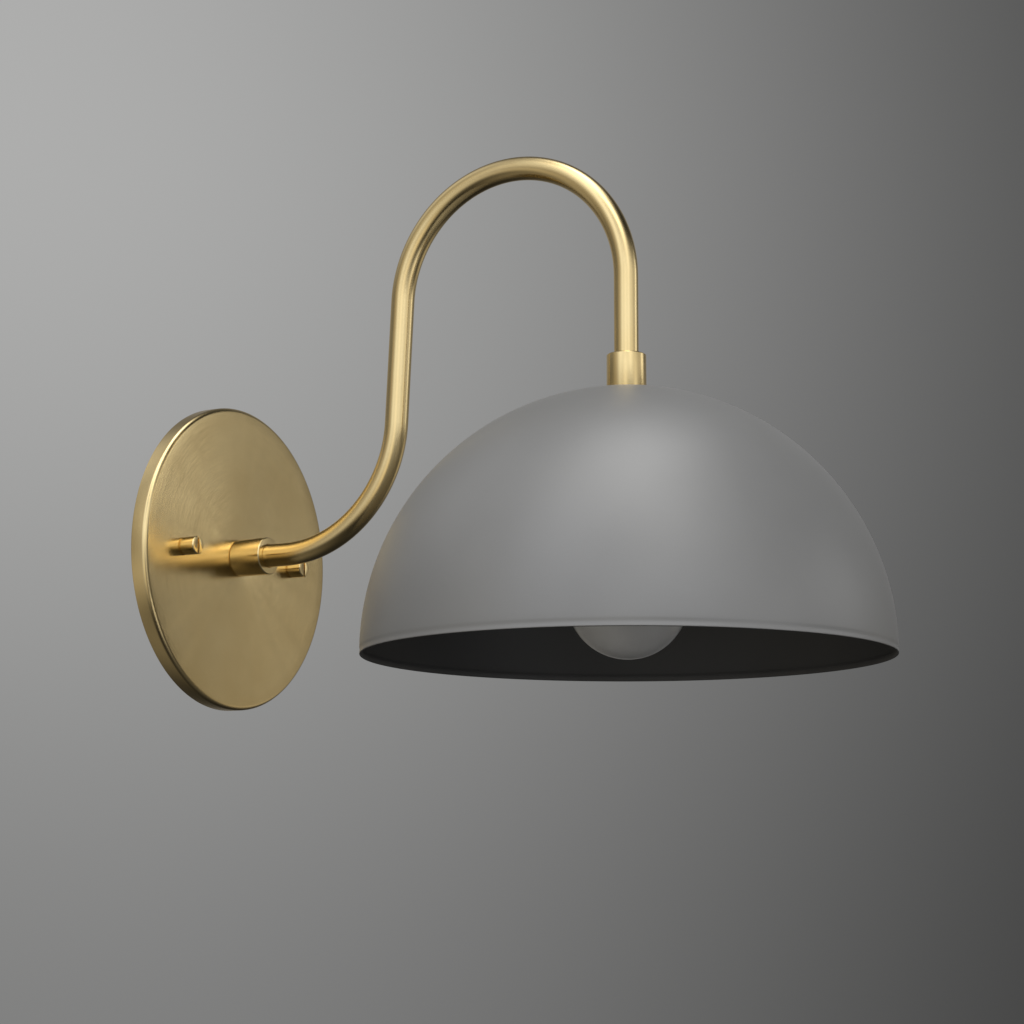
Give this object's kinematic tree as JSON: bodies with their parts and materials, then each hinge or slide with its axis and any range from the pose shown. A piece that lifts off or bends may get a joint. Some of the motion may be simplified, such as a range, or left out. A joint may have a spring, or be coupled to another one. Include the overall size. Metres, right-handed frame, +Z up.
{
  "type": "gooseneck wall sconce",
  "caption": "Wall light with a bent brass gooseneck arm, round brass backplate with slotted cap nuts, and a half-dome metal shade over a screw-in bulb.",
  "frame": {"origin": "centre of the backplate, on the wall plane, midway between the two box screw slots", "axes": "+Y goes into the wall, so the light stands out towards -Y; +X is to the right seen from the front; +Z is up"},
  "size_m": [0.254, 0.3627, 0.2736],
  "materials": {
    "satin_brass": "satin brushed, clear lacquered",
    "grey_paint": "matte grey outside, matte near-black inside",
    "zinc_steel": "bright zinc plate",
    "green_steel": "green earth screw",
    "cap_brass": "pressed brass, plain",
    "nickel": "nickel plate",
    "porcelain": "white glaze",
    "shell_metal": "thin rolled brass",
    "black_plastic": "black insulation",
    "white_plastic": "white insulation",
    "green_plastic": "green insulation",
    "bushing_plastic": "moulded nylon",
    "copper": "bare stranded copper",
    "base_metal": "thin rolled cap",
    "solder": "dull solder",
    "base_glass": "black vitreous insulator",
    "frosted_glass": "soft white coating inside",
    "clear_glass": "clear stem",
    "filament_metal": "tungsten and nickel wire"
  },
  "bodies": {
    "fixture": {"mounting_plate": "zinc_steel", "canopy_studs": "zinc_steel", "stud_lock_nuts": "zinc_steel", "earth_screw": "green_steel", "earth_lug": "zinc_steel", "earth_lead": "green_plastic", "earth_lead_core": "copper", "canopy": "satin_brass", "hub_collar": "satin_brass", "hub_nipple": "zinc_steel", "hub_tooth_washer": "zinc_steel", "hub_lock_nut": "zinc_steel", "hub_bushing": "bushing_plastic", "arm_tube": "satin_brass", "lower_collar": "satin_brass", "shade_nipple": "zinc_steel", "shade": "grey_paint", "shade_washer": "zinc_steel", "shade_tooth_washer": "zinc_steel", "shade_lock_nut": "zinc_steel", "holder_cap": "cap_brass", "holder_bushing": "bushing_plastic", "holder_body": "porcelain", "holder_side_screws": "cap_brass", "holder_screw_shell": "shell_metal", "contact_leaf": "shell_metal", "contact_rivets": "cap_brass", "line_terminal": "cap_brass", "neutral_terminal": "nickel", "line_screw": "cap_brass", "neutral_screw": "nickel", "line_lead": "black_plastic", "neutral_lead": "white_plastic", "lead_cores": "copper"},
    "washer_left": {"cap_nut_washer_left": "satin_brass"},
    "nut_left": {"cap_nut_left": "satin_brass"},
    "washer_right": {"cap_nut_washer_right": "satin_brass"},
    "nut_right": {"cap_nut_right": "satin_brass"},
    "bulb_carriage": {"bulb_foot_contact": "solder"},
    "bulb": {"bulb_insulator": "base_glass", "bulb_base_shell": "base_metal", "bulb_glass": "frosted_glass", "bulb_stem": "clear_glass", "bulb_support_wires": "filament_metal", "bulb_filament": "filament_metal"}
  },
  "joints": [
    {"name": "cap_nut_left_travel", "type": "slide", "parent": "fixture", "child": "washer_left", "axis": [0, -1, 0], "range_m": [0, 0.00595]},
    {"name": "cap_nut_left_turn", "type": "hinge", "parent": "washer_left", "child": "nut_left", "pos_m": [-0.04735, -0.0135, 0], "axis": [0, -1, 0], "range_deg": [0, 2700]},
    {"name": "cap_nut_right_travel", "type": "slide", "parent": "fixture", "child": "washer_right", "axis": [0, -1, 0], "range_m": [0, 0.00595]},
    {"name": "cap_nut_right_turn", "type": "hinge", "parent": "washer_right", "child": "nut_right", "pos_m": [0.04735, -0.0135, 0], "axis": [0, -1, 0], "range_deg": [0, 2700]},
    {"name": "bulb_travel", "type": "slide", "parent": "fixture", "child": "bulb_carriage", "axis": [0, 0, -1], "range_m": [0, 0.0127]},
    {"name": "bulb_turn", "type": "hinge", "parent": "bulb_carriage", "child": "bulb", "pos_m": [0, -0.2357, 0.03], "axis": [0, 0, -1], "range_deg": [0, 1260]}
  ],
  "couplings": [
    {"joint": "cap_nut_left_turn", "follows": "cap_nut_left_travel", "rad_per_m": 7915.8},
    {"joint": "cap_nut_right_turn", "follows": "cap_nut_right_travel", "rad_per_m": 7915.8},
    {"joint": "bulb_turn", "follows": "bulb_travel", "rad_per_m": 1731.4}
  ]
}
